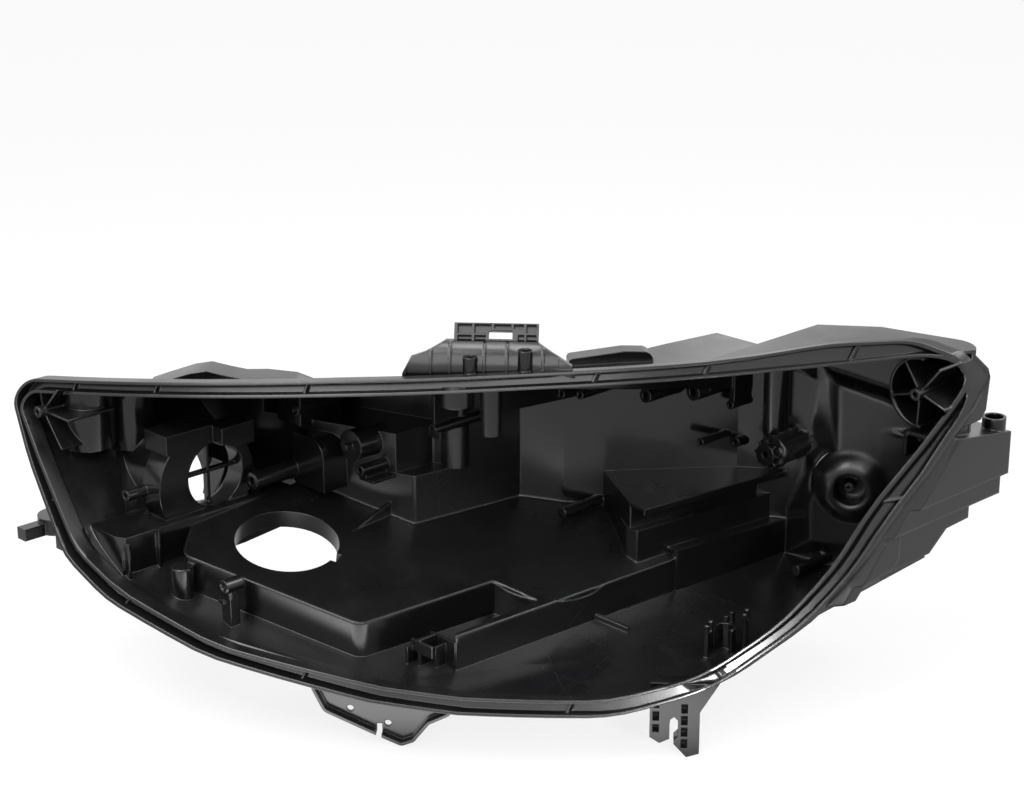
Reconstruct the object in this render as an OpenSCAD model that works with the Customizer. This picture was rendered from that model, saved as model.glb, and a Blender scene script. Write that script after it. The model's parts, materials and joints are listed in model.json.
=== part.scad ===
// Lamp housing: one black moulding, open at the front, with a sealing channel round the lens opening.
// X runs outboard, Y runs rearward along the mould's draw, Z is up.
// Places below are measured from the middle of the opening's upper edge, and the whole
// moulding is then moved so that the bore of the upper fixing boss stands at the origin.

/* [Shell] */
// Thickness of the moulded walls
wall = 2.5; // [2:0.1:3]
// Draft of the floor and roofs, as a fall per millimetre of depth
draft = 0.075; // [0.05:0.005:0.1]
// Floor's fall per millimetre outboard
floor_fall = 0.234; // [0.2:0.002:0.26]

/* [Lens channel] */
// Radius of the curved face that the lens edge follows
lens_r = 900; // [800:10:1100]
// Rake of that face, bottom forward, in degrees
lens_rake = 25; // [22:1:28]
// Thickness of the two lips
lip = 2; // [1.6:0.1:2.4]
// Depth of the groove
groove_d = 9; // [7:0.5:11]
// How far the lip stands proud of the cavity behind it
dam = 4; // [2:0.5:5]

/* [Lamp port] */
// Diameter of the round port in the raised floor
port_d = 77; // [70:1:80]
// Depth of the neck round the port
port_neck = 14; // [10:1:18]
// Diameter of the vent port in the inboard wall
vent_d = 50; // [44:1:54]
// Diameter of the drum that carries the vent port
drum_d = 86; // [80:1:90]

/* [Bosses and fixings] */
// Outer diameter of a screw boss
boss_d = 9; // [8:0.5:10]
// Pilot bore of a screw boss
pilot_d = 4; // [3:0.2:4.6]
// Bore of the vertical fixing bosses on the upper bracket
fixing_bore = 5.5; // [4:0.1:6]
// Outer diameter of those bosses
fixing_d = 10.4; // [9.6:0.1:11]
// Height of those bosses
fixing_h = 15; // [13:1:16]

/* [Hidden] */

// Heading of the two brackets seen from above, and the upper one's place and fixing bosses
bracket_heading = 42;
upper_at = [-20.7, 3.9, 0];
fixing_bosses = [[-17.9, -1, 24], [20.9, 0.5, 29]];

function from_bracket(p) = [
    p[0] * cos(bracket_heading) - p[1] * sin(bracket_heading),
    p[0] * sin(bracket_heading) + p[1] * cos(bracket_heading),
    p[2]
];

// Mouth of the first fixing bore, which is the moulding's origin
datum = upper_at + from_bracket(fixing_bosses[0]);

// Largest turn between two points of a rounded corner, and lengths that reach past the whole moulding
arc_step = 10;
far = 700;
reach = 420;

// Heading of the lens opening seen from above, and the flange's own line
lens_heading = 45.6;
plate_t = wall;

// Corner points of the opening, looking along the draw: [x, z, corner radius]
opening = [
    [-309, -21, 9], [-96, -3, 600], [5, 4.5, 900], [120, 10.5, 300], [186.5, 11, 27], [184, -40, 200],
    [177, -85, 150], [175, -120, 90], [166, -152, 60], [144, -181, 40], [108, -192, 60], [17, -188.5, 300],
    [-45, -177, 400], [-110, -166, 120], [-186, -139, 120], [-224, -117.5, 60], [-273, -63, 200]
];

// Corner points of the sealing channel's outer edge, in the same form
channel_edge = [
    [-320, -12.5, 14], [-96, 7.8, 600], [5, 15, 600], [90, 19.5, 200], [128, 25.5, 60], [158, 22.5, 24],
    [178, 7, 24], [191, -18, 40], [192.5, -50, 200], [187, -95, 300], [185, -125, 100], [176, -155, 60],
    [152, -189, 40], [115, -203, 60], [15, -199.5, 300], [-45, -187.5, 400], [-114, -174.5, 120],
    [-192, -147.5, 120], [-232, -124, 60], [-283, -64, 200]
];

// The walls seen from above: [x, y, corner radius], front left round to the rear
main_plan = [
    [-360, -420, 0], [-360, -86, 0], [-181, -24, 3], [-106, 2, 3], [-88, 95, 3], [-63, 117.5, 8],
    [22, 222, 3], [47, 240, 3], [172, 310, 12], [184.5, 286, 10], [184.5, -420, 0]
];

// Shelves over the stepped block at the rear of the inboard bay: [plan, height of the shelf]
block_shelves = [
    [[[-230, -60, 2], [-181, -30, 2], [-115, -5, 2], [-115, 42, 2], [-230, 4, 2]], -57],
    [[[-122, -20, 2], [-100, -12, 2], [-96, 40, 2], [-118, 32, 2]], -88]
];

// Stepped block on the raised floor's outboard edge: [plan, height of its top]
rail_blocks = [
    [[[-47, 143, 2], [17.3, 105.5, 1], [40, 268, 2], [10, 268, 2]], -103.5],
    [[[-20, 128, 1], [14, 105.5, 1], [25, 105.5, 1], [47.5, 268, 2], [10, 268, 2]], -123.5]
];

// Hooked walls beside the rails: [start of the wall in X and Y, its length, outline in X and Z]
rail_hooks = [
    [[17.3, 105.5], 160, [
        [-2, -106], [14.7, -106], [14.7, -108.5], [16.8, -108.5], [16.8, -103.5], [-2, -103.5]
    ]],
    [[31, 136], 118, [
        [0, -178], [2.5, -178], [2.5, -146], [-6, -146], [-6, -154], [-8.5, -152], [-8.5, -143.5], [5, -143.5],
        [8, -143.5], [8, -178]
    ]]
];

// Raised floor seen from above
raised_plan = [
    [-174, -163, 10], [-38, -112, 12], [-21, 2, 2], [14.5, 12, 1], [8.2, -64, 1],
    [11, -66, 0.5], [37.5, 131, 1], [25, 240, 1], [-30, 240, 1], [-200, 60, 1], [-197, -138, 8]
];
raised_h = 26;

function unit(v) = v / norm(v);

// Points of the arc that rounds one corner
function corner(a, b, c) =
    let (
        p = [b[0], b[1]],
        u = unit([a[0], a[1]] - p),
        v = unit([c[0], c[1]] - p),
        inside = acos(u * v),
        turn = 180 - inside,
        side = sign(u[0] * v[1] - u[1] * v[0]),
        centre = p + unit(u + v) * b[2] / sin(inside / 2),
        start = p + u * b[2] / tan(inside / 2) - centre,
        steps = max(1, ceil(turn / arc_step)),
        first = atan2(start[1], start[0])
    )
    [for (k = [0:steps]) centre + b[2] * [cos(first - side * turn * k / steps), sin(first - side * turn * k / steps)]];

function rounded(list) =
    let (n = len(list))
    [for (i = [0:n - 1])
        each list[i][2] == 0
            ? [[list[i][0], list[i][1]]]
            : corner(list[(i + n - 1) % n], list[i], list[(i + 1) % n])];

// A profile in X and Z, drawn out along Y between two depths
module draw(y0, y1) {
    translate([0, y1, 0]) rotate([90, 0, 0]) linear_extrude(y1 - y0) children();
}

// A profile in Y and Z, drawn out along X between two places
module across(x0, x1) {
    translate([x0, 0, 0]) rotate([90, 0, 90]) linear_extrude(x1 - x0) children();
}

module opening_profile(grow) {
    offset(delta = grow) polygon(rounded(opening));
}

module channel_profile(shrink) {
    offset(delta = -shrink) polygon(rounded(channel_edge));
}

// All the space behind the lens edge's curved face, moved rearward by a depth
module behind_lens(depth) {
    translate([0, depth, 0]) rotate([0, 0, lens_heading]) rotate([-lens_rake, 0, 0])
        translate([0, lens_r, 0]) cylinder(r = lens_r, h = 4 * far, center = true, $fn = 720);
}

// Space above a plane through a point, which falls by the given rates along X and Y
module above(point, fall_x, rise_y) {
    tilt_y = atan(fall_x);
    tilt_x = atan(rise_y * cos(tilt_y));
    translate(point) rotate([tilt_x, tilt_y, 0]) translate([-far, -far, 0]) cube([2 * far, 2 * far, far]);
}

floor_point = [67, -66, -198];

module above_floor(lift) {
    above(floor_point + [0, 0, lift], floor_fall, draft);
}

// Space inboard of a plane that follows the rails' heading
rail_heading = 8;

module inboard_of(x, y) {
    translate([x, y, -far]) rotate([0, 0, -rail_heading]) translate([-2 * far, -far, 0]) cube(2 * far);
}

// Space above the roofs: the inboard one falls away from the lens, the middle one is level
// and falls at its rear, and the outboard one is the highest
module above_roof(grow) {
    intersection() {
        above([0, 0, 5.5 + grow], -0.24, -0.227);
        inboard_of(6 - grow, 57);
    }
    intersection() {
        above([-40, 60, -30.5 + grow], -0.05, -draft);
        translate([-64 + grow, 24 + grow, -far]) cube([24 - 2 * grow, far, 2 * far]);
    }
    intersection() {
        union() {
            above([13, 50, 10 + grow], 0, -0.01);
            above([40, 190, 10 + grow], 0, -0.6);
        }
        translate([-far + 71 - grow, -far, -far]) cube([far, 2 * far, 2 * far]);
    }
    above([110, 280, 14 + grow], 0.1, 0);
}

// Rear limits of the outboard end, stepping forward towards the bottom: [y, z]
outboard_steps = [
    [-500, 60], [316, 60], [316, -58], [298, -58], [298, -106], [268, -118], [248, -130], [202, -132],
    [202, -240], [-500, -240]
];
outboard_from = 150;

module outboard_limit(grow) {
    across(outboard_from - grow, 260) offset(delta = grow) polygon(outboard_steps);
    translate([-far + outboard_from + grow, -far, -far]) cube([far, 2 * far, 2 * far]);
}

// Shallow bays along the outboard side, one below the other: [inner face, outline in Y and Z]
bays = [
    [188, [[200, -42], [295, -39], [300, -34], [303, -5], [296, 5], [200, 6]]],
    [192, [[150, -40], [240, -47], [329, -60], [329, -89], [150, -89]]],
    [188, [[120, -80], [325, -80], [325, -105], [120, -105]]],
    [185.5, [[90, -98], [290, -98], [290, -116], [264, -117], [244, -131], [90, -135]]],
    [186.5, [[60, -113], [204, -113], [204, -125], [198, -130], [60, -140]]],
    [183, [[60, -135], [168, -135], [168, -137], [160, -144], [60, -142]]]
];

module outboard_bays(grow) {
    intersection() {
        union() for (b = bays) across(165 - grow, b[0] + grow) offset(delta = grow) polygon(b[1]);
        behind_lens(groove_d + wall - grow);
    }
}

// Vent drum, pillars and raised floor stand inside the cavity and are open from outside
drum_at = [-205, -115, -88];
drum_l = 21;
vent_at = [-205, -107, -84];
pillars = [[-279, -166, 19, -65], [-270, -133, 16, -71], [50, 232, 10, -70]];

// Raised part of the rear wall beside the drum: [x, z, corner radius]
boss_wall = [[-197, -106, 1], [-161, -106, 1], [-161, -65, 14], [-197, -65, 2]];

module inward_forms(grow) {
    translate([-330, drum_at[1], drum_at[2]]) rotate([0, 90, 0]) {
        cylinder(r = 33 - grow, h = 330 + drum_at[0] - grow, $fn = 96);
        translate([0, 0, 330 + drum_at[0] - drum_l]) cylinder(r = drum_d / 2 - grow, h = drum_l - grow, $fn = 96);
    }
    for (p = pillars)
        translate([p[0], p[1], p[3] + grow]) cylinder(r = p[2] - grow, h = 120, $fn = 64);
    difference() {
        translate([0, 0, -260]) linear_extrude(200) offset(delta = -grow) polygon(rounded(raised_plan));
        above_floor(raised_h - grow);
    }
    bulge_form(grow);
    draw(-40 + grow, 60) offset(delta = -grow) polygon(rounded(boss_wall));
    for (b = rail_blocks)
        translate([0, 0, -260]) linear_extrude(260 + b[1] - grow) offset(delta = -grow) polygon(rounded(b[0]));
    // ledge along the inboard edge of the floor
    translate([-260, -198 + grow, -200]) cube([62 - grow, 157, 91 - grow]);
}

// Cavity, or with a wall's growth the outside of the shell
module cavity(grow) {
    difference() {
        intersection() {
            draw(-reach, reach) opening_profile(dam + grow);
            union() {
                translate([0, 0, -260]) linear_extrude(360) offset(delta = grow) polygon(rounded(main_plan));
                for (s = block_shelves)
                    translate([0, 0, s[1] - grow]) linear_extrude(160) offset(delta = grow) polygon(rounded(s[0]));
            }
            above_floor(-grow);
            above([150, 100, -171 - 1.28 * grow], -0.807, 0.06);
            outboard_limit(grow);
        }
        above_roof(grow);
        inward_forms(grow);
    }
    outboard_bays(grow);
}

module shell() {
    difference() {
        intersection() {
            cavity(wall);
            behind_lens(groove_d);
        }
        cavity(0);
    }
}

module lens_channel() {
    difference() {
        intersection() {
            draw(-reach, reach) channel_profile(0);
            behind_lens(0);
        }
        draw(-reach - 10, reach + 10) opening_profile(0);
        behind_lens(groove_d + plate_t);
        difference() {
            draw(-reach - 10, reach + 10) difference() {
                channel_profile(lip);
                opening_profile(lip);
            }
            behind_lens(groove_d);
        }
    }
}

// Children are cut off inside the shell's wall, so that they end on it
module seated() {
    intersection() {
        cavity(0.6 * wall);
        union() children();
    }
}

// Tilts its children to the floor's slope about a point on the raised floor
module on_floor(point) {
    tilt_y = atan(floor_fall);
    translate(point) rotate([atan(draft * cos(tilt_y)), tilt_y, 0]) children();
}

// Round port through the raised floor, with its neck and bayonet notch
port_at = [-143.6, -90.5, -124.6];

module port_ring() {
    on_floor(port_at) translate([0, 0, -port_neck]) cylinder(r = port_d / 2 + wall, h = port_neck - 0.6, $fn = 96);
}

module port_cut() {
    on_floor(port_at) {
        translate([0, 0, -40]) cylinder(r = port_d / 2, h = 60, $fn = 96);
        rotate([0, 0, 24]) translate([port_d / 2 - 6, -5, -40]) cube([10, 10, 60]);
    }
}

// Vent port in the drum's face, with a cross bar and a neck behind it
vent_neck = 17;

module vent_ring() {
    translate(vent_at + [-vent_neck, 0, 0]) rotate([0, 90, 0])
        cylinder(r = vent_d / 2 + wall, h = vent_neck - 0.6, $fn = 72);
}

module vent_cut() {
    difference() {
        translate(vent_at + [-40, 0, 0]) rotate([0, 90, 0]) cylinder(r = vent_d / 2, h = 60, $fn = 72);
        translate(vent_at + [-vent_neck + 3, -vent_d, -1.2]) cube([5, 2 * vent_d, 2.4]);
        translate(vent_at + [-vent_neck + 3, -1.2, -vent_d]) cube([5, 2.4, 2 * vent_d]);
    }
}

// Screw bosses that point to the front: [x, y, z, outer diameter, depth of body]
screw_bosses = [
    [-224, -175, -88.7, boss_d, 34], [-193, -40, -48, boss_d, 40], [-197, -80, -95, 1.5 * boss_d, 44],
    [-95, 10, -50.7, boss_d, 55], [-38, 88, -27, 7, 40], [-21, 90, -24.6, 7, 70], [-10, 150, -36.7, 11, 60],
    [13, 178, -35, 13, 60], [17.5, 190, -31, boss_d, 50], [27, 205, -48, 7, 70], [15.5, 185, -75.7, 6, 50],
    [25, 215, -81, 8, 60], [163, 250, -18, boss_d, 60]
];

module screw_boss(b) {
    pilot = b[3] > 10 ? b[3] * 0.5 : min(pilot_d, b[3] * 0.5);
    translate([b[0], b[1], b[2]]) rotate([-90, 0, 0]) difference() {
        cylinder(r = b[3] / 2, h = b[4], $fn = 40);
        translate([0, 0, -1]) cylinder(r = pilot / 2, h = min(16, b[4] - 4), $fn = 32);
    }
}

// Webs and small boxes that carry the bosses: [x, y, z, width, depth, height]
carriers = [
    [-214, -108, -63, 20, 30, 17], [-216, -38, -60, 27, 40, 30], [-232, -150, -60, 27, 42, 15], [-97, 12, -50, 3, 52, 26],
    [-100, 10, -56.5, 14, 3, 6], [-22.5, 92, -24, 3, 66, 24], [24.5, 207, -46, 5, 60, 40],
    [150, 258, -53, 60, 60, 3], [150, 258, -70, 3, 60, 18],
    [12, 180, -30, 4, 50, 30], [-12, 152, -34, 4, 50, 36]
];

module adjuster_boss() {
    translate([-143, -28, -66]) rotate([-90, 0, 0]) {
        cylinder(r = 12, h = 30, $fn = 64);
        translate([0, 0, -6]) cylinder(r = 2.8, h = 8, $fn = 32);
    }
    translate([-130, -31, -81.5]) rotate([-90, 0, 0]) difference() {
        cylinder(r = 4.2, h = 40, $fn = 40);
        translate([0, 0, -1]) cylinder(r = 2, h = 14, $fn = 32);
    }
    translate([-136, -26, -91]) cube([16, 36, 2.5]);
    translate([-131.2, -26, -91]) cube([2.5, 36, 10]);
}

// Post with a cable clip in front of the raised floor, and the half-round pillar beside it
module front_post() {
    translate([-127, -164, -175]) cube([10, 8, 44]);
    translate([-121, -167, -131.5]) rotate([-90, 0, 0]) difference() {
        cylinder(r = 5.2, h = 15, $fn = 40);
        translate([0, 0, -1]) cylinder(r = 2.4, h = 12, $fn = 32);
    }
    translate([-129, -165.5, -146]) cube([6, 2.5, 2.5]);
    translate([-168, -168, -175]) cylinder(r = 8.5, h = 46, $fn = 48);
}

// Ring that stands on the raised floor, and the low fin on the lower floor
module floor_marks() {
    on_floor([-17, 50, -145.6]) difference() {
        cylinder(r = 49.3, h = 1.2, $fn = 96);
        translate([0, 0, -1]) cylinder(r = 47.7, h = 4, $fn = 96);
    }
    on_floor([37, 63, -180.2]) rotate([0, 0, 18]) translate([-16, -1.5, -1]) cube([32, 3, 4]);
}

// Clip at the front of the rail
module rail_clip() {
    translate([-16, -89, -182]) cube([2, 20, 14]);
    translate([-9, -84, -184]) cube([2, 18, 22]);
    translate([-16, -84, -172]) cube([22, 2, 9]);
    translate([-1, -76, -185]) cube([2, 14, 18]);
    translate([-16, -66, -182]) cube([26, 2.5, 18]);
}

// Gusset at the foot of the stepped block
module block_gusset() {
    across(-127.5, -125) polygon([[-42, -135], [14, -135], [14, -109], [4, -109], [-42, -124.5]]);
}

// Knob with a ribbed shaft at the edge of the outboard wall
module knob() {
    translate([61, 207, -80]) rotate([-90, 0, 0]) {
        difference() {
            cylinder(r = 8.5, h = 60, $fn = 48);
            translate([0, 0, -1]) cylinder(r = 2.6, h = 9, $fn = 32);
        }
        for (k = [0:7]) rotate([0, 0, 45 * k]) translate([7, -1, 2]) cube([4.5, 2, 60]);
        translate([0, 0, 9]) cylinder(r = 13, h = 3, $fn = 48);
    }
}

// Bulging panel on the outboard wall, in the wall's own frame: pairs of a base outline
// and a front outline, each [distance along the wall, z]
bulge_heading = 29.25;
bulge_front = 14;
bulge_parts = [
    [[[30.5, -16], [24, -80], [135, -80], [135, -42]], [[47, -27], [48, -80], [135, -80], [135, -53]]],
    [[[24, -80], [21, -104], [135, -104], [135, -80]], [[48, -80], [34, -104], [135, -104], [135, -80]]],
    [[[21, -104], [9, -135], [9, -172], [135, -172], [135, -104]],
     [[34, -104], [28, -125], [30, -154], [135, -154], [135, -104]]]
];
recess_at = [59.5, -107];
recess_r = 12;

// Solid with straight sides up to the height 0, and from there sides that taper to a second outline
module tapered(base, front, foot, height) {
    n = len(base);
    points = [
        for (p = base) [p[0], p[1], foot],
        for (p = base) [p[0], p[1], 0],
        for (p = front) [p[0], p[1], height]
    ];
    sides = [
        for (level = [0, n], i = [0:n - 1], upper = [0, 1])
            let (a = level + i, b = level + (i + 1) % n)
            upper == 1 ? [a, a + n, b + n] : [a, b + n, b]
    ];
    polyhedron(points, concat([[for (i = [0:n - 1]) i]], [[for (i = [0:n - 1]) 3 * n - 1 - i]], sides));
}

module bulge_frame() {
    translate([47, 240, 0]) rotate([0, 0, bulge_heading]) rotate([90, 0, 0]) children();
}

module bulge_form(grow) {
    bulge_frame() difference() {
        translate([0, 0, -grow]) {
            for (b = bulge_parts) tapered(b[0], b[1], -30, bulge_front);
            translate([recess_at[0], recess_at[1], 0]) rotate_extrude($fn = 96)
                polygon([[0, -20], [31, -20], [31, 13], [28, 15], [23, 19.5], [19, 22], [16, 23], [0, 23]]);
        }
        translate([recess_at[0], recess_at[1], 5 - grow]) cylinder(r = recess_r + grow, h = 60, $fn = 64);
    }
}

module recess_stud() {
    bulge_frame() translate([recess_at[0] - 2, recess_at[1] - 1, 2]) difference() {
        cylinder(r = 4.2, h = 12, $fn = 40);
        translate([0, 0, 8]) cylinder(r = 1.8, h = 12, $fn = 32);
    }
}

// Shroud and fins round the upper outboard boss
module outboard_boss_fins() {
    translate([163, 256, -18]) rotate([-90, 0, 0]) {
        for (a = [20, 92, 164, 236, 308]) rotate([0, 0, a]) translate([3, -1, 0]) cube([24, 2, 60]);
        difference() {
            cylinder(r = 27, h = 60, $fn = 64);
            translate([0, 0, -1]) cylinder(r = 25, h = 62, $fn = 64);
            translate([2, -60, -1]) cube([60, 120, 62]);
        }
    }
}

// Clips on the low floor near the outboard corner
module floor_clips() {
    for (c = [[104, 92, -200, 30, 22], [116, 120, -196, 30, 30], [100, 118, -196, 24, 12]])
        translate([c[0], c[1], c[2]]) rotate([0, 0, c[4]]) difference() {
            cube([3, 12, c[3]]);
            translate([-1, 3, c[3] - 8]) cube([5, 6, 12]);
        }
    translate([110, 108, -200]) difference() {
        cylinder(r = 8, h = 26, $fn = 40);
        translate([0, 0, -1]) cylinder(r = 6, h = 30, $fn = 40);
        translate([-20, -30, -1]) cube([40, 28, 40]);
    }
    translate([83, 222, -172]) rotate([-90, 0, 0]) cylinder(r = 4, h = 40, $fn = 40);
}

module hooked_walls() {
    for (h = rail_hooks)
        translate([h[0][0], h[0][1], 0]) rotate([90, 0, -rail_heading]) translate([0, 0, -h[1]])
            linear_extrude(h[1]) polygon(h[2]);
}

// Boss with ribs in the inboard upper corner
module corner_boss() {
    translate([-288, -204, -33]) rotate([-90, 0, 0]) {
        difference() {
            cylinder(r = 4.5, h = 40, $fn = 40);
            translate([0, 0, -1]) cylinder(r = 2, h = 14, $fn = 32);
        }
        for (a = [-100, -45, 0, 50]) rotate([0, 0, a]) translate([3, -0.9, 5]) cube([30, 1.8, 40]);
    }
}

module fittings() {
    seated() {
        hooked_walls();
        corner_boss();
        for (b = screw_bosses) screw_boss(b);
        for (c = carriers) translate([c[0], c[1], c[2]]) cube([c[3], c[4], c[5]]);
        adjuster_boss();
        front_post();
        floor_marks();
        rail_clip();
        block_gusset();
        knob();
        recess_stud();
        outboard_boss_fins();
        floor_clips();
        // cable tube along the rear wall
        translate([-46, 98, -127]) rotate([-90, 0, 0]) cylinder(r = 4, h = 60, $fn = 40);
        // half-round pillars under the low roof
        translate([-103, 41, -88]) cylinder(r = 10.5, h = 70, $fn = 48);
        translate([-46, 24, -45]) cylinder(r = 8, h = 60, $fn = 48);
        translate([-38, -18, -11]) cylinder(r = 11, h = 30, $fn = 48);
        // ribs on the inboard ledge
        translate([-199, -168, -150]) cube([4, 2, 41]);
        translate([-199, -196, -150]) cube([6, 2, 38]);
    }
}

// The brackets follow the lens opening's heading
module along_lens(point) {
    translate(point) rotate([0, 0, bracket_heading]) children();
}

// A profile in X and Z of the bracket's own frame, given a depth
module slab(y0, depth) {
    translate([0, y0 + depth, 0]) rotate([90, 0, 0]) linear_extrude(depth) children();
}

saddle_outline = [
    [-66, -4], [-66, 11], [-60, 22], [-50, 25], [-36, 31.5], [28, 31.5], [45, 23], [54, 18], [56, 13], [56, -4]
];
saddle_r = 27;

module upper_saddle() {
    intersection() {
        slab(-4, 40) polygon(saddle_outline);
        translate([-70, saddle_r, 9]) rotate([0, 90, 0]) cylinder(r = saddle_r + 2.5, h = 140, $fn = 96);
    }
}

module upper_bracket() {
    along_lens(upper_at) {
        difference() {
            upper_saddle();
            translate([-75, saddle_r, 9]) rotate([0, 90, 0]) cylinder(r = saddle_r - wall, h = 150, $fn = 96);
            for (k = [0:len(saddle_cells) - 1])
                translate([saddle_cells[k][0], saddle_r, 9]) rotate([0, 90, 0]) difference() {
                    cylinder(r = saddle_r + 10, h = saddle_cells[k][1] - saddle_cells[k][0], $fn = 96);
                    translate([0, 0, -1]) cylinder(r = saddle_r, h = 150, $fn = 96);
                }
            translate([-80, -20, -60]) cube([160, 140, 60 + 3]);
            translate([-80, saddle_r + 4, -60]) cube([160, 140, 160]);
        }
        lattice_plate();
        for (b = fixing_bosses)
            translate([b[0], b[1], b[2] - fixing_h]) cylinder(r = fixing_d / 2, h = fixing_h, $fn = 48);
    }
}

saddle_edges = [-64, -46, -32.5, -8, 8, 33.5, 45.5];
saddle_cells = [for (k = [0:len(saddle_edges) - 2]) [saddle_edges[k] + 0.9, saddle_edges[k + 1] - 0.9]];
lattice_lean = 28;
lattice_cells = [
    [-28, 9, 10, 6.4], [-28, 3, 10, 4.4], [-16, 9, 12, 6.4], [-16, 3, 8, 4.4], [-2, 12.4, 12, 3],
    [12, 12.4, 7, 3], [21, 9.6, 7, 5.8], [21, 3, 7, 5], [15, 3, 4.4, 5]
];

module lattice_plate() {
    translate([0, saddle_r - 14, 28]) rotate([-lattice_lean, 0, 0]) difference() {
        translate([-30.5, 0, -3]) cube([60, 7, 19.5]);
        for (c = lattice_cells) translate([c[0], -1, c[1]]) cube([c[2], 5.5, c[3]]);
        translate([-6, -5, 5]) cube([17, 20, 6]);
    }
}

module upper_bracket_bores() {
    along_lens(upper_at) for (b = fixing_bosses)
        translate([b[0], b[1], b[2] - fixing_h + 1]) cylinder(r = fixing_bore / 2, h = fixing_h + 4, $fn = 40);
}

// Plate under the opening, with two holes and an open notch in its lower edge
lower_at = [-62, -144, 0];
lower_plate = [
    [4, -160, 0], [5, -198, 6], [13, -215, 8], [46.7, -231, 4], [68, -240.5, 5], [77, -237, 4], [88, -223, 3],
    [103, -215.5, 3], [104, -160, 0]
];
lower_holes = [[31.4, -214.8], [58.1, -225.7]];

module lower_bracket() {
    difference() {
        along_lens(lower_at) difference() {
            slab(0, 9) polygon(rounded(lower_plate));
            slab(-1, 7) offset(delta = -2.2) polygon(rounded(lower_plate));
            translate([50, -5, -240]) cube([4, 30, 14]);
            for (h = lower_holes) translate([h[0], -5, h[1]]) rotate([-90, 0, 0]) cylinder(r = 2.6, h = 30, $fn = 40);
        }
        above_floor(-0.6 * wall);
    }
}

// Forked clip under the outboard corner, ribbed on its open face
fork_at = [113, 14.5, 0];

module lower_fork() {
    along_lens(fork_at) difference() {
        slab(0, 12) polygon([
            [7, -186], [7, -228], [14, -232.5], [21, -229], [21, -217], [21.5, -214], [24, -212], [27, -215],
            [27, -227], [24, -230], [24, -233], [33, -243], [42, -240], [42, -208], [55, -186]
        ]);
        for (c = [[9, -224, 4.6, 6], [9, -215, 4.6, 7], [9, -205, 4.6, 8], [29, -236, 4.6, 7], [29, -227, 4.6, 7],
                  [29, -218, 4.6, 7], [29, -209, 4.6, 7]])
            translate([c[0], -1, c[1]]) cube([c[2], 9, c[3]]);
    }
}

// Lug outside the lower inboard corner
module side_lug() {
    difference() {
        union() {
            translate([-276, -200, -122]) cylinder(r = 15, h = 12, $fn = 64);
            translate([-281, -232, -122]) cube([10, 30, 9]);
            translate([-280, -211, -120]) cube([46, 20, 8]);
            translate([-262, -212, -130]) cube([8, 14, 18]);
        }
        translate([-278, -200, -130]) cylinder(r = 3.2, h = 30, $fn = 40);
    }
}

// Hollow box behind the outboard end, open to the rear, with the tube on its top
module outboard_box() {
    difference() {
        union() {
            translate([120, 270, -91.5]) cube([74.5, 62, 33]);
            translate([120, 270, -107.5]) cube([70.5, 58, 30]);
        }
        translate([122.5, 200, -89]) cube([69.5, 160, 28]);
        translate([122.5, 200, -105]) cube([65.5, 160, 30]);
    }
    for (x = [138, 156]) translate([x, 300, -106]) cube([2, 28, 46]);
    difference() {
        translate([184, 324, -60]) cylinder(r = 9, h = 13, $fn = 48);
        translate([184, 324, -54.5]) cylinder(r = 7, h = 30, $fn = 48);
    }
}

// Small ribs that cross the groove: [x, z, direction in degrees]
groove_ribs = [
    [-307, -38, 160], [-262, -93, 215], [-181, -150, 245], [-54, -188, 265], [150, -181, 310], [90, -200, 270],
    [192, -82, 0], [192, -22, 20], [137, 19, 93], [81, 14, 93], [33, 11.5, 93], [-115, 2, 93], [-210, -4.5, 93],
    [-269, -8, 93]
];

module groove_rib_set() {
    difference() {
        intersection() {
            draw(-reach, reach) intersection() {
                channel_profile(0.6);
                union() for (g = groove_ribs) translate([g[0], g[1]]) rotate(g[2]) square([30, 1.2], center = true);
            }
            behind_lens(groove_d - 4);
        }
        draw(-reach - 10, reach + 10) opening_profile(lip / 2);
        behind_lens(groove_d + 1);
    }
}

// Long rounded cover on the middle roof, open to the rear
cover_outline = [[0, -4, 0], [0, 6, 3], [40, 10.5, 6], [60, 9.5, 7], [62, -4, 0]];

module roof_cover() {
    translate([2, 55, 10]) rotate([0, 0, 52]) difference() {
        slab(0, 15) polygon(rounded(cover_outline));
        slab(wall, 20) offset(delta = -wall) polygon(rounded(cover_outline));
    }
}

// Low hump over the vent drum, open to the rear
hump_outline = [
    [-44, -20], [-44, -12], [-30, -7], [-12, -1], [0, 1], [13, -2], [26, -4.5], [41, -4], [63, -6], [76, -11],
    [76, -20]
];

module roof_hump() {
    along_lens([-195, -119, 0]) difference() {
        slab(0, 24) polygon(hump_outline);
        slab(wall, 40) offset(delta = -wall) polygon(hump_outline);
    }
}

module housing() {
    color([0.03, 0.03, 0.033]) translate(-datum) difference() {
        union() {
            difference() {
                union() {
                    roof_cover();
                    roof_hump();
                }
                cavity(0.6 * wall);
            }
            lens_channel();
            shell();
            fittings();
            port_ring();
            vent_ring();
            upper_bracket();
            lower_bracket();
            lower_fork();
            side_lug();
            outboard_box();
            groove_rib_set();
        }
        port_cut();
        vent_cut();
        upper_bracket_bores();
    }
}

housing();
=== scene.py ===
import json
import math

import bpy
from mathutils import Matrix, Vector

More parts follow.
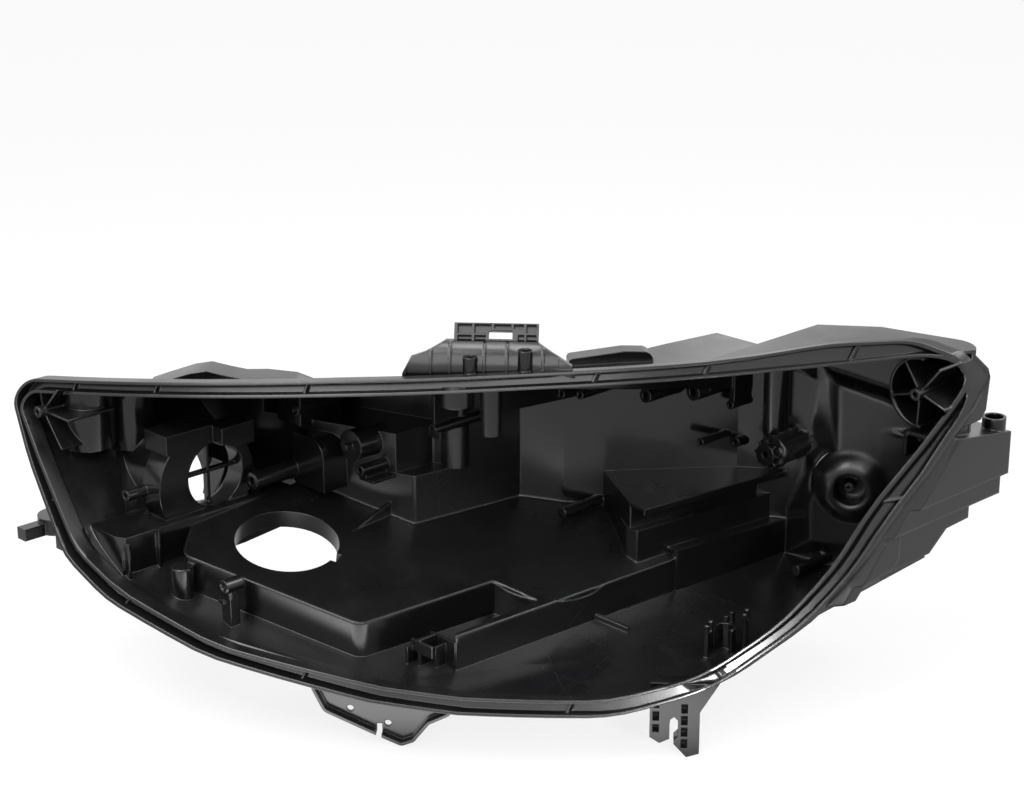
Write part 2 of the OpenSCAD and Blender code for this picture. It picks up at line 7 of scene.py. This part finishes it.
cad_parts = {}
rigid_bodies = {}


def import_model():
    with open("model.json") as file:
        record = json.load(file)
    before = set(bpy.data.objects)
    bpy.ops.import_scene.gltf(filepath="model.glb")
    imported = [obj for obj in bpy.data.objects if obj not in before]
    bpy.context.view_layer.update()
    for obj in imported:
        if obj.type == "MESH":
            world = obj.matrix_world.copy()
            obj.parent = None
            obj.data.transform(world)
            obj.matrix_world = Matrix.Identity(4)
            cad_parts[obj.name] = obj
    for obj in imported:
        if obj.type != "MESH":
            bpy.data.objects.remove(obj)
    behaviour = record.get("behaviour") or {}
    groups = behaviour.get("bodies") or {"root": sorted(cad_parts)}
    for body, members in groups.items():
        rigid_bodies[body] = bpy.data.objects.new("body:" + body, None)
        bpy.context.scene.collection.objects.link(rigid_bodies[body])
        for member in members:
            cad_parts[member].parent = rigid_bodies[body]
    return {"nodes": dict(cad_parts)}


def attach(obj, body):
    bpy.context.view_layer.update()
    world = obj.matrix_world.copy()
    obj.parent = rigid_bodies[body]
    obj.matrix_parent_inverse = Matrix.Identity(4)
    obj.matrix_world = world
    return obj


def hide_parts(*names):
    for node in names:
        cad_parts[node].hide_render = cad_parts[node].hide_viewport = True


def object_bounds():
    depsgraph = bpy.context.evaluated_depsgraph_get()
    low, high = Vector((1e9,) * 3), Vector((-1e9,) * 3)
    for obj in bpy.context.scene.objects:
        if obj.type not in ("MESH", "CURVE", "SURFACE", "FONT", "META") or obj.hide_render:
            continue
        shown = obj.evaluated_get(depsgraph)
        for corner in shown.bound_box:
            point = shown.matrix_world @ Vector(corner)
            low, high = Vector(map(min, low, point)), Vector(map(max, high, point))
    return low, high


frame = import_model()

bl_info = {
    "name": "Headlamp housing looks",
    "version": (1, 0, 0),
    "blender": (4, 5, 0),
    "location": "View3D > Sidebar > Housing",
    "description": "Skin, plastic finish, stage and camera for a moulded headlamp housing",
    "category": "Object",
}

MM = 0.001
HOUSING = "housing"
SKIN = "housing_skin"
CAD_BOX = [list(corner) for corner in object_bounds()]
FLOOR_HEIGHT = CAD_BOX[0][2]

# Cleaning of the copied mesh: points this close are merged, shorter edges and flatter joins dissolved
MERGE_REACH = 0.004 * MM
SHORTEST_EDGE = 0.01 * MM
FLAT_JOIN = math.radians(0.4)

# Rounding of the edges: faces across an edge, pull of large faces on the shading, rays of the shaded round
EDGE_SEGMENTS = 2
LARGE_FACE_WEIGHT = 80
ROUND_SAMPLES = 8

# A point on the raised floor's top, the falls of that floor along X and Y, and how far its rounding reaches
RAISED_POINT = Vector((100.333, -57.179, -196.0)) * MM
RAISED_FALL = (-0.234, 0.075)
RAISED_REACH = (4.0 * MM, 6.0 * MM)

# The lamp port in the raised floor, and the ring round it that keeps a sharper edge
PORT_MIDDLE = Vector((-110.267, -81.679, -148.6)) * MM
PORT_RADIUS = 38.5 * MM
PORT_RING = (6.0 * MM, 9.0 * MM)

# Middle, radii and soft rim of the bulging panel, and where the walls of the outboard end begin
PANEL_MIDDLE = Vector((139.0, 270.0, -122.0)) * MM
PANEL_RADII = Vector((66.0, 66.0, 100.0)) * MM
PANEL_RIM = (0.85, 1.0)
OUTER_END = (212.0 * MM, 214.0 * MM)

# Grain of the mould and slow waves of the wall, as patterns per metre, and their height in the bump
GRAIN_SCALE = 900.0
GRAIN_SHARE = 0.25
WAVE_SCALE = 9.0
WAVE_RANGE = (0.3, 0.7)
GRAIN_HEIGHT = 0.12 * MM
GRAIN_STRENGTH = 0.16

# Fine scratches and soft smears: their turns, their patterns per metre along each axis, the share of the
# pattern that shows and how strong it gets
STREAK_TURNS = ((0.3, 0.5, 0.6), (0.8, 0.1, -0.4), (0.1, -0.6, 1.3))
STREAK_SCALE = (4.0, 900.0, 4.0)
STREAK_RANGE = (0.68, 0.86)
STREAK_TOP = 0.5
SMEAR_TURN = (0.2, 0.4, 0.5)
SMEAR_SCALE = (26.0, 60.0, 40.0)
SMEAR_RANGE = (0.55, 0.80)
SMEAR_TOP = 0.35

# Loose patches with scuffs, and the places that are rubbed most: middle and radius, and how they fade
PATCH_SCALE = 14.0
PATCH_RANGE = (0.52, 0.70)
WORN_PLACES = (
    (Vector((-225.0, -150.0, -95.0)) * MM, 75.0 * MM),
    (Vector((95.0, 25.0, -200.0)) * MM, 90.0 * MM),
    (Vector((-40.0, -70.0, -150.0)) * MM, 70.0 * MM),
)
WORN_FADE = (0.4, 1.0)

# Dust lies on faces whose normal has this much height, in patches that never leave a face quite clean
DUST_SLOPE = (0.25, 1.0)
DUST_SCALE = 22.0
DUST_RANGE = (0.30, 0.78)
THINNEST_DUST = 0.35

# How much of the dust colour the dust and the scuffs bring, and how much each dulls the gloss
DUST_SHARE = 0.013
SCUFF_SHARE = 0.06
DUST_DULLS = 0.12
SCUFF_DULLS = 0.22
GLOSS_SWING = (-0.05, 0.06)

# The painted pool of light on the floor in front of the housing, seen only in the plastic's reflections,
# and how bright the rest of the floor is beside the room
PAINTED_POOL_MIDDLE = (0.055, -0.185, FLOOR_HEIGHT)
PAINTED_POOL_RADII = (0.34, 0.11, 1.0)
PAINTED_POOL_FADE = (0.4, 1.2)
FLOOR_SHARE = 0.5

# The painted shadow on the floor under the housing, and how dark the plastic mirrors it there
PAINTED_SHADOW_MIDDLE = (-0.02, 0.06, FLOOR_HEIGHT)
PAINTED_SHADOW_RADII = (0.36, 0.16, 1.0)
PAINTED_SHADOW_FADE = (0.7, 1.15)
PAINTED_SHADOW_LEVEL = 0.2

# Share of the floor's own white that the camera and the plastic see, which leaves the rest to the shadow
FLOOR_GLOW = 0.82

# Colour of the room and of the floor's own light, and the brightness of the room to the camera and as light
WHITE = (1.0, 1.0, 1.0, 1.0)
ROOM_SEEN = 1.0
ROOM_LIGHT = 0.7

# Name, place, side in metres and power in watts of each soft light
SOFTBOXES = (
    ("key_light", (0.0, -1.0, 1.2), 0.8, 22.0),
    ("side_light", (1.15, -1.1, 1.05), 1.0, 9.0),
    ("front_light", (0.3, -1.45, 0.74), 0.7, 5.0),
    ("rear_light", (0.85, 1.0, 1.0), 0.7, 11.0),
    ("top_light", (0.25, -0.35, 1.8), 0.4, 6.0),
)

# The narrow light on the lower outboard lip, and the place on the lip that it points at
LIP_LIGHT = ("lip_light", (1.25, -0.32, 0.26), 0.34, 0.21)
LIP_LIGHT_SPREAD = math.radians(13.0)
LOWER_LIP = (0.19, 0.05, -0.22)

# Middle of the opening's upper edge, which the camera looks at
OPENING_MIDDLE = Vector((33.333, 8.821, -24.0)) * MM
SENSOR_WIDTH = 36.0

FINISH_ROWS = (
    "edge_round", "platform_round", "panel_round", "outer_round", "shaded_round",
    "edge_angle", "smooth_angle", "plastic", "dust", "gloss",
)
STAGE_ROWS = (
    "floor_colour", "mirrored", "pool", "floor_width",
    "azimuth", "elevation", "distance", "focal_length",
)


class HousingFinish(bpy.types.PropertyGroup):
    """Sizes and colours of the moulded plastic"""

    edge_round: bpy.props.FloatProperty(
        name="Edge round",
        description="Radius that softens the moulded edges",
        default=0.5 * MM,
        min=0.0,
        max=1.5 * MM,
        unit="LENGTH",
    )
    platform_round: bpy.props.FloatProperty(
        name="Raised floor round",
        description="Radius along the raised floor's edges, as the shading shows it",
        default=3.4 * MM,
        min=0.0,
        unit="LENGTH",
    )
    panel_round: bpy.props.FloatProperty(
        name="Soft panel round",
        description="Radius on the bulging panel, as the shading shows it",
        default=6.0 * MM,
        min=0.0,
        unit="LENGTH",
    )
    outer_round: bpy.props.FloatProperty(
        name="Outer end round",
        description="Radius on the bays outside the outboard end, as the shading shows it",
        default=2.4 * MM,
        min=0.0,
        unit="LENGTH",
    )
    shaded_round: bpy.props.FloatProperty(
        name="Shaded round",
        description="Radius of the other edges, as the shading shows it",
        default=1.05 * MM,
        min=0.0,
        unit="LENGTH",
    )
    edge_angle: bpy.props.FloatProperty(
        name="Edge angle",
        description="Edges sharper than this are rounded",
        default=math.radians(32.0),
        subtype="ANGLE",
    )
    smooth_angle: bpy.props.FloatProperty(
        name="Smooth angle",
        description="Faces that meet at less than this are shaded as one surface",
        default=math.radians(38.0),
        subtype="ANGLE",
    )
    plastic: bpy.props.FloatVectorProperty(
        name="Plastic",
        description="Colour of the clean black plastic",
        default=(0.0036, 0.0036, 0.004),
        subtype="COLOR",
        min=0.0,
        max=1.0,
    )
    dust: bpy.props.FloatVectorProperty(
        name="Dust",
        description="Colour of the dust, the smears and the scratches",
        default=(0.16, 0.165, 0.17),
        subtype="COLOR",
        min=0.0,
        max=1.0,
    )
    gloss: bpy.props.FloatProperty(
        name="Roughness",
        description="Roughness of the clean plastic",
        default=0.2,
        min=0.0,
        max=1.0,
    )


class HousingStage(bpy.types.PropertyGroup):
    """Floor, lights and camera"""

    floor_colour: bpy.props.FloatVectorProperty(
        name="Floor",
        description="Colour of the floor",
        default=(0.94, 0.94, 0.94),
        subtype="COLOR",
        min=0.0,
        max=1.0,
    )
    mirrored: bpy.props.FloatProperty(
        name="Mirrored white",
        description="Brightness of the white room as the plastic mirrors it",
        default=1.25,
        min=0.0,
    )
    # The painted pool of light: how bright the floor's glow is in front of the housing, seen only in
    # reflections
    pool: bpy.props.FloatProperty(
        name="Pool of light",
        description="Brightness of the lit floor in front of the housing, as the plastic mirrors it",
        default=7.0,
        min=0.0,
    )
    floor_width: bpy.props.FloatProperty(
        name="Floor width",
        description="Side of the square floor",
        default=24.0,
        unit="LENGTH",
    )
    azimuth: bpy.props.FloatProperty(
        name="Azimuth",
        description="Heading of the camera round the housing",
        default=math.radians(45.6),
        subtype="ANGLE",
    )
    elevation: bpy.props.FloatProperty(
        name="Elevation",
        description="Height angle of the camera",
        default=math.radians(18.5),
        subtype="ANGLE",
    )
    distance: bpy.props.FloatProperty(
        name="Distance",
        description="Distance of the camera from the opening's upper edge",
        default=1.575,
        unit="LENGTH",
    )
    focal_length: bpy.props.FloatProperty(
        name="Focal length",
        description="Focal length in millimetres, on a sensor 36 mm wide",
        default=79.1,
    )


def need(condition, message):
    """Stops the script with a plain message where something is missing"""
    if not condition:
        raise RuntimeError(message)


def deselect_all():
    for thing in bpy.context.view_layer.objects.selected:
        thing.select_set(False)


def make_active(thing):
    deselect_all()
    thing.select_set(True)
    bpy.context.view_layer.objects.active = thing


def new_group(name, vectors, values):
    """A shader node group that takes vectors and puts out values"""
    group = bpy.data.node_groups.new(name, "ShaderNodeTree")
    for label in vectors:
        group.interface.new_socket(label, in_out="INPUT", socket_type="NodeSocketVector")
    for label in values:
        group.interface.new_socket(label, in_out="OUTPUT", socket_type="NodeSocketFloat")
    entry = group.nodes.new("NodeGroupInput")
    leave = group.nodes.new("NodeGroupOutput")
    return group, entry, leave


def add_noise(tree, vector, scale, detail, roughness=0.55, distortion=0.0):
    noise = tree.nodes.new("ShaderNodeTexNoise")
    noise.inputs["Scale"].default_value = scale
    noise.inputs["Detail"].default_value = detail
    noise.inputs["Roughness"].default_value = roughness
    noise.inputs["Distortion"].default_value = distortion
    tree.links.new(vector, noise.inputs["Vector"])
    return noise.outputs["Fac"]


def add_range(tree, value, low, high, to_low=0.0, to_high=1.0):
    """A soft step of the value from one range to another"""
    step = tree.nodes.new("ShaderNodeMapRange")
    step.interpolation_type = "SMOOTHSTEP"
    step.inputs["From Min"].default_value = low
    step.inputs["From Max"].default_value = high
    step.inputs["To Min"].default_value = to_low
    step.inputs["To Max"].default_value = to_high
    tree.links.new(value, step.inputs["Value"])
    return step.outputs["Result"]


def add_math(tree, operation, *values):
    """A math node whose inputs are numbers or other nodes' outputs"""
    node = tree.nodes.new("ShaderNodeMath")
    node.operation = operation
    for socket, value in zip(node.inputs, values):
        if isinstance(value, (int, float)):
            socket.default_value = value
        else:
            tree.links.new(value, socket)
    return node.outputs[0]


def add_vector_math(tree, operation, vector, constant):
    """A vector math node with one constant"""
    node = tree.nodes.new("ShaderNodeVectorMath")
    node.operation = operation
    node.inputs[1].default_value = constant
    tree.links.new(vector, node.inputs[0])
    return node


def split_xyz(tree, vector):
    split = tree.nodes.new("ShaderNodeSeparateXYZ")
    tree.links.new(vector, split.inputs["Vector"])
    return split.outputs


def stretched(tree, vector, scale, turn=(0.0, 0.0, 0.0)):
    mapping = tree.nodes.new("ShaderNodeMapping")
    mapping.inputs["Scale"].default_value = scale
    mapping.inputs["Rotation"].default_value = turn
    tree.links.new(vector, mapping.inputs["Vector"])
    return mapping.outputs["Vector"]


def reach_from(tree, vector, centre, radii, heading=0.0):
    """Distance from the middle of an ellipsoid, which is 1 on its surface"""
    shifted = add_vector_math(tree, "SUBTRACT", vector, centre).outputs["Vector"]
    turned = stretched(tree, shifted, (1.0, 1.0, 1.0), (0.0, 0.0, -heading))
    scaled = add_vector_math(tree, "DIVIDE", turned, radii).outputs["Vector"]
    return add_vector_math(tree, "LENGTH", scaled, (0.0, 0.0, 0.0)).outputs["Value"]


def highest(tree, values):
    """The largest of several values"""
    top = values[0]
    for value in values[1:]:
        top = add_math(tree, "MAXIMUM", top, value)
    return top


def grain_group():
    """Fine moulded grain and the slow waves of a cooled wall"""
    group, entry, leave = new_group("Moulded grain", ["Vector"], ["Height", "Variation"])
    vector = entry.outputs["Vector"]
    fine = add_noise(group, vector, GRAIN_SCALE, detail=3.0)
    waves = add_noise(group, vector, WAVE_SCALE, detail=2.0, distortion=0.4)
    group.links.new(add_math(group, "MULTIPLY_ADD", fine, GRAIN_SHARE, waves), leave.inputs["Height"])
    group.links.new(waves, leave.inputs["Variation"])
    return group


def scuff_group():
    """Soft smears and a few faint crossing scratches, mostly where the plastic is rubbed"""
    group, entry, leave = new_group("Handling scuffs", ["Vector"], ["Mask"])
    vector = entry.outputs["Vector"]
    patches = add_noise(group, vector, PATCH_SCALE, detail=3.0, distortion=0.8)
    marks = []
    for turn in STREAK_TURNS:
        turned = stretched(group, vector, (1.0, 1.0, 1.0), turn)
        lines = add_noise(group, stretched(group, turned, STREAK_SCALE), scale=1.0, detail=1.0)
        marks.append(add_range(group, lines, *STREAK_RANGE, 0.0, STREAK_TOP))
    turned = stretched(group, vector, SMEAR_SCALE, SMEAR_TURN)
    smears = add_noise(group, turned, scale=1.0, detail=4.0, roughness=0.6, distortion=1.2)
    marks.append(add_range(group, smears, *SMEAR_RANGE, 0.0, SMEAR_TOP))
    areas = [add_range(group, patches, *PATCH_RANGE)]
    for centre, radius in WORN_PLACES:
        reach = reach_from(group, vector, centre, [radius] * 3)
        areas.append(add_range(group, reach, *WORN_FADE, 1.0, 0.0))
    mask = add_math(group, "MULTIPLY", highest(group, marks), highest(group, areas))
    group.links.new(mask, leave.inputs["Mask"])
    return group


def dust_group():
    """Dust that settles on faces that look up, thin and patchy"""
    group, entry, leave = new_group("Settled dust", ["Vector", "Normal"], ["Mask"])
    upward = add_range(group, split_xyz(group, entry.outputs["Normal"])["Z"], *DUST_SLOPE)
    vector = entry.outputs["Vector"]
    patches = add_noise(group, vector, DUST_SCALE, detail=5.0, roughness=0.62, distortion=0.5)
    cover = add_range(group, patches, *DUST_RANGE, THINNEST_DUST, 1.0)
    group.links.new(add_math(group, "MULTIPLY", upward, cover), leave.inputs["Mask"])
    return group


def raised_floor_share(group, vector, place):
    """1 along the raised floor's edges and 0 elsewhere, and round the lamp port"""
    fall_x, fall_y = RAISED_FALL
    level = RAISED_POINT.z - fall_x * RAISED_POINT.x - fall_y * RAISED_POINT.y
    along_x = add_math(group, "MULTIPLY_ADD", place["X"], fall_x, level)
    plane = add_math(group, "MULTIPLY_ADD", place["Y"], fall_y, along_x)
    lift = add_math(group, "ABSOLUTE", add_math(group, "SUBTRACT", place["Z"], plane))
    near_top = add_range(group, lift, *RAISED_REACH, 1.0, 0.0)
    from_port = add_vector_math(group, "DISTANCE", vector, PORT_MIDDLE).outputs["Value"]
    clear = add_range(group, from_port, PORT_RADIUS + PORT_RING[0], PORT_RADIUS + PORT_RING[1])
    return add_math(group, "MULTIPLY", near_top, clear)


def round_group(finish):
    """Radius of the rounded edges by place: larger where the moulding is softer"""
    group, entry, leave = new_group("Edge radius", ["Vector"], ["Radius"])
    vector = entry.outputs["Vector"]
    place = split_xyz(group, vector)
    raised = add_math(group, "MULTIPLY", raised_floor_share(group, vector, place), finish.platform_round)
    from_panel = reach_from(group, vector, PANEL_MIDDLE, PANEL_RADII)
    panel = add_range(group, from_panel, *PANEL_RIM, finish.panel_round, 0.0)
    outer = add_range(group, place["X"], *OUTER_END, 0.0, finish.outer_round)
    radius = highest(group, [raised, panel, outer])
    radius = add_math(group, "MAXIMUM", radius, finish.shaded_round)
    group.links.new(radius, leave.inputs["Radius"])
    return group


def place_group(tree, group, **links):
    node = tree.nodes.new("ShaderNodeGroup")
    node.node_tree = group
    for label, source in links.items():
        tree.links.new(source, node.inputs[label])
    return node.outputs


def plastic_material(finish):
    """Near-black moulded plastic, half glossy, with rubs and dust"""
    material = bpy.data.materials.new("moulded_black")
    material.use_nodes = True
    tree = material.node_tree
    shader = tree.nodes["Principled BSDF"]
    coordinates = tree.nodes.new("ShaderNodeTexCoord")
    place = coordinates.outputs["Object"]
    grain = place_group(tree, grain_group(), Vector=place)
    scuffs = place_group(tree, scuff_group(), Vector=place)
    dust = place_group(tree, dust_group(), Vector=place, Normal=coordinates.outputs["Normal"])

    dusty = tree.nodes.new("ShaderNodeMix")
    dusty.data_type = "RGBA"
    dusty.inputs["A"].default_value = (*finish.plastic, 1.0)
    dusty.inputs["B"].default_value = (*finish.dust, 1.0)
    settled = add_math(tree, "MULTIPLY", dust["Mask"], DUST_SHARE)
    marked = add_math(tree, "MULTIPLY_ADD", scuffs["Mask"], SCUFF_SHARE, settled)
    tree.links.new(marked, dusty.inputs["Factor"])
    tree.links.new(dusty.outputs["Result"], shader.inputs["Base Color"])

    glossiest, dullest = (finish.gloss + swing for swing in GLOSS_SWING)
    slow = add_range(tree, grain["Variation"], *WAVE_RANGE, glossiest, dullest)
    worn = add_math(tree, "MULTIPLY_ADD", scuffs["Mask"], SCUFF_DULLS, slow)
    dulled = add_math(tree, "MULTIPLY_ADD", dust["Mask"], DUST_DULLS, worn)
    tree.links.new(dulled, shader.inputs["Roughness"])

    rounded = tree.nodes.new("ShaderNodeBevel")
    rounded.samples = ROUND_SAMPLES
    radius = place_group(tree, round_group(finish), Vector=place)
    tree.links.new(radius["Radius"], rounded.inputs["Radius"])
    bump = tree.nodes.new("ShaderNodeBump")
    bump.inputs["Strength"].default_value = GRAIN_STRENGTH
    bump.inputs["Distance"].default_value = GRAIN_HEIGHT
    tree.links.new(rounded.outputs["Normal"], bump.inputs["Normal"])
    tree.links.new(grain["Height"], bump.inputs["Height"])
    tree.links.new(bump.outputs["Normal"], shader.inputs["Normal"])
    shader.inputs["IOR"].default_value = 1.5
    shader.inputs["Specular IOR Level"].default_value = 0.5
    return material


def painted_floor_light_and_shade(tree, stage):
    """How bright the plastic mirrors the floor: a painted pool of light in front and painted shade under
    the housing
    """
    position = tree.nodes.new("ShaderNodeNewGeometry").outputs["Position"]
    from_pool = reach_from(tree, position, PAINTED_POOL_MIDDLE, PAINTED_POOL_RADII, stage.azimuth)
    # Painted pool of light: the floor glows brighter for reflections in a strip in front of the housing
    pool = add_range(tree, from_pool, *PAINTED_POOL_FADE, stage.pool, stage.mirrored * FLOOR_SHARE)
    # Painted shadow: the floor's glow for reflections is darkened under the housing
    from_foot = reach_from(tree, position, PAINTED_SHADOW_MIDDLE, PAINTED_SHADOW_RADII, stage.azimuth)
    painted_shade = add_range(tree, from_foot, *PAINTED_SHADOW_FADE, PAINTED_SHADOW_LEVEL, 1.0)
    return add_math(tree, "MULTIPLY", pool, painted_shade)


def floor_material(stage):
    """Pale floor that stays white to the camera and keeps a soft shadow"""
    material = bpy.data.materials.new("pale_floor")
    material.use_nodes = True
    tree = material.node_tree
    shader = tree.nodes["Principled BSDF"]
    shader.inputs["Base Color"].default_value = (*stage.floor_colour, 1.0)
    shader.inputs["Roughness"].default_value = 0.9
    shader.inputs["Specular IOR Level"].default_value = 0.1
    path = tree.nodes.new("ShaderNodeLightPath").outputs
    # The floor's glow as the plastic mirrors it carries the painted pool of light and the painted shade
    above_white = add_math(tree, "SUBTRACT", painted_floor_light_and_shade(tree, stage), ROOM_SEEN)
    level = add_math(tree, "MULTIPLY_ADD", path["Is Glossy Ray"], above_white, ROOM_SEEN)
    glow = tree.nodes.new("ShaderNodeEmission")
    glow.inputs["Color"].default_value = WHITE
    tree.links.new(level, glow.inputs["Strength"])
    seen = add_math(tree, "MAXIMUM", path["Is Camera Ray"], path["Is Glossy Ray"])
    blend = tree.nodes.new("ShaderNodeMixShader")
    tree.links.new(add_math(tree, "MULTIPLY", seen, FLOOR_GLOW), blend.inputs["Fac"])
    tree.links.new(shader.outputs["BSDF"], blend.inputs[1])
    tree.links.new(glow.outputs["Emission"], blend.inputs[2])
    tree.links.new(blend.outputs["Shader"], tree.nodes["Material Output"].inputs["Surface"])
    return material


def copy_housing():
    """A copy of the moulding with its points merged and its flat faces whole"""
    source = frame["nodes"].get(HOUSING)
    need(source, "the packed model has no housing")
    skin = source.copy()
    skin.data = source.data.copy()
    skin.name = SKIN
    skin.parent = None
    for key in list(skin.keys()):
        del skin[key]
    bpy.context.scene.collection.objects.link(skin)
    make_active(skin)
    bpy.ops.object.mode_set(mode="EDIT")
    bpy.ops.mesh.select_all(action="SELECT")
    bpy.ops.mesh.remove_doubles(threshold=MERGE_REACH)
    bpy.ops.mesh.dissolve_degenerate(threshold=SHORTEST_EDGE)
    bpy.ops.mesh.dissolve_limited(angle_limit=FLAT_JOIN)
    bpy.ops.object.mode_set(mode="OBJECT")
    return skin


def round_edges(skin, finish):
    """Rounds the moulded edges and keeps the large faces flat in the shading"""
    rounding = skin.modifiers.new("Edge round", "BEVEL")
    rounding.width = finish.edge_round
    rounding.segments = EDGE_SEGMENTS
    rounding.limit_method = "ANGLE"
    rounding.angle_limit = finish.edge_angle
    rounding.use_clamp_overlap = True
    rounding.harden_normals = False
    rounding.miter_outer = "MITER_ARC"
    bpy.ops.object.modifier_apply(modifier=rounding.name)
    bpy.ops.object.shade_smooth_by_angle(angle=finish.smooth_angle)
    levelling = skin.modifiers.new("Flat faces stay flat", "WEIGHTED_NORMAL")
    levelling.mode = "FACE_AREA"
    levelling.weight = LARGE_FACE_WEIGHT
    levelling.keep_sharp = True
    bpy.ops.object.modifier_apply(modifier=levelling.name)


class HOUSING_OT_skin(bpy.types.Operator):
    """Copies the moulding, rounds its edges and gives it the black plastic"""

    bl_idname = "housing.skin"
    bl_label = "Moulded skin"

    def execute(self, context):
        finish = context.scene.housing_finish
        skin = copy_housing()
        round_edges(skin, finish)
        skin.data.materials.clear()
        skin.data.materials.append(plastic_material(finish))
        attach(skin, "root")
        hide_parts(HOUSING)
        return {"FINISHED"}


def add_floor(stage, middle):
    """The pale floor that the housing stands over"""
    deselect_all()
    place = (middle.x, middle.y, FLOOR_HEIGHT)
    bpy.ops.mesh.primitive_plane_add(size=stage.floor_width, location=place)
    bpy.ops.object.transform_apply(location=True, rotation=False, scale=False)
    floor = bpy.context.object
    floor.name = "floor"
    floor.data.materials.append(floor_material(stage))


def add_room(stage):
    """A white room: full white to the camera, softer as light, brighter where it is mirrored"""
    world = bpy.data.worlds.new("studio")
    bpy.context.scene.world = world
    world.use_nodes = True
    tree = world.node_tree
    background = tree.nodes["Background"]
    background.inputs["Color"].default_value = WHITE
    path = tree.nodes.new("ShaderNodeLightPath").outputs
    gain = stage.mirrored - ROOM_LIGHT
    glossy = add_math(tree, "MULTIPLY_ADD", path["Is Glossy Ray"], gain, ROOM_LIGHT)
    level = add_math(tree, "MULTIPLY_ADD", path["Is Camera Ray"], ROOM_SEEN - ROOM_LIGHT, glossy)
    tree.links.new(level, background.inputs["Strength"])


def add_softbox(target, name, place, size, power):
    """A square soft light that looks at a point"""
    bpy.ops.object.light_add(type="AREA", location=place)
    lamp = bpy.context.object
    lamp.name = name
    lamp.data.shape = "SQUARE"
    lamp.data.size = size
    lamp.data.energy = power
    lamp.rotation_euler = (Vector(target) - Vector(place)).to_track_quat("-Z", "Y").to_euler()
    return lamp


def add_camera(stage):
    """The camera that was fitted to the photograph"""
    heading = Matrix.Rotation(stage.azimuth, 3, "Z")
    right = heading @ Vector((1.0, 0.0, 0.0))
    ahead = heading @ Vector((0.0, -1.0, 0.0))
    back = ahead * math.cos(stage.elevation) + Vector((0.0, 0.0, math.sin(stage.elevation)))
    up = back.cross(right)
    place = OPENING_MIDDLE + back * stage.distance
    bpy.ops.object.camera_add(location=place)
    camera = bpy.context.object
    camera.name = "photo_camera"
    camera.matrix_world = Matrix(
        [(right[i], up[i], back[i], place[i]) for i in range(3)] + [(0.0, 0.0, 0.0, 1.0)]
    )
    camera.data.sensor_width = SENSOR_WIDTH
    camera.data.lens = stage.focal_length
    bpy.context.scene.camera = camera


class HOUSING_OT_stage(bpy.types.Operator):
    """Adds the floor, the room, the soft lights and the camera"""

    bl_idname = "housing.stage"
    bl_label = "Stage"

    def execute(self, context):
        stage = context.scene.housing_stage
        low, high = (Vector(corner) for corner in CAD_BOX)
        middle = (low + high) / 2
        add_floor(stage, middle)
        add_room(stage)
        for row in SOFTBOXES:
            add_softbox(middle, *row)
        lip_light = add_softbox(LOWER_LIP, *LIP_LIGHT)
        lip_light.data.spread = LIP_LIGHT_SPREAD
        add_camera(stage)
        context.scene.view_settings.view_transform = "Standard"
        return {"FINISHED"}


class HOUSING_PT_panel(bpy.types.Panel):
    """Lists the steps and their settings"""

    bl_idname = "HOUSING_PT_panel"
    bl_label = "Headlamp housing"
    bl_space_type = "VIEW_3D"
    bl_region_type = "UI"
    bl_category = "Housing"

    def draw(self, context):
        for name in FINISH_ROWS:
            self.layout.prop(context.scene.housing_finish, name)
        self.layout.operator(HOUSING_OT_skin.bl_idname)
        for name in STAGE_ROWS:
            self.layout.prop(context.scene.housing_stage, name)
        self.layout.operator(HOUSING_OT_stage.bl_idname)


CLASSES = (HousingFinish, HousingStage, HOUSING_OT_skin, HOUSING_OT_stage, HOUSING_PT_panel)


def register():
    for item in CLASSES:
        bpy.utils.register_class(item)
    bpy.types.Scene.housing_finish = bpy.props.PointerProperty(type=HousingFinish)
    bpy.types.Scene.housing_stage = bpy.props.PointerProperty(type=HousingStage)


def unregister():
    del bpy.types.Scene.housing_stage
    del bpy.types.Scene.housing_finish
    for item in reversed(CLASSES):
        bpy.utils.unregister_class(item)


def main():
    register()
    bpy.ops.housing.skin()
    bpy.ops.housing.stage()


if __name__ == "__main__":
    main()
